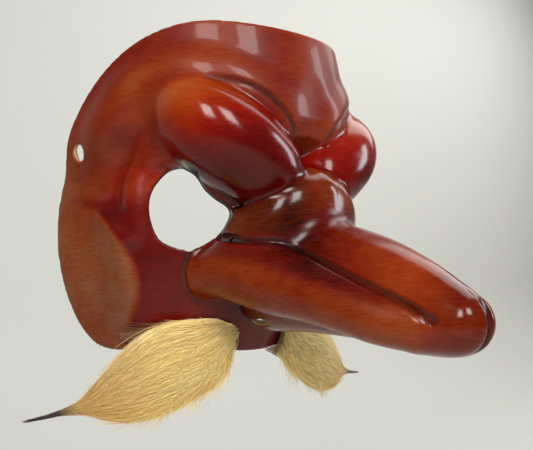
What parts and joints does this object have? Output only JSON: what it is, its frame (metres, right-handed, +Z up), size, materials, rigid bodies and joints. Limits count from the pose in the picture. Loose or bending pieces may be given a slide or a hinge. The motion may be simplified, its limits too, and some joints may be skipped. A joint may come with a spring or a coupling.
{
  "type": "long-nosed leather half mask",
  "caption": "Moulded leather half mask with a long drooping nose, heavy brows, open eye holes, strap holes at the temples and a swept hair moustache.",
  "frame": {"origin": "middle of the back plane that the mask's edge rests on, at the height of the eye holes", "axes": "+X towards the wearer's left, -Y along the nose away from the wall or face, +Z up"},
  "size_m": [0.246, 0.2107, 0.1989],
  "materials": {
    "leather": "gloss",
    "hide": "matte",
    "hair": "matte"
  },
  "bodies": {
    "root": {"leather_shell": "leather", "moustache_hide_left": "hide", "moustache_hide_right": "hide", "moustache_hair_left": "hair", "moustache_hair_right": "hair"}
  },
  "joints": []
}
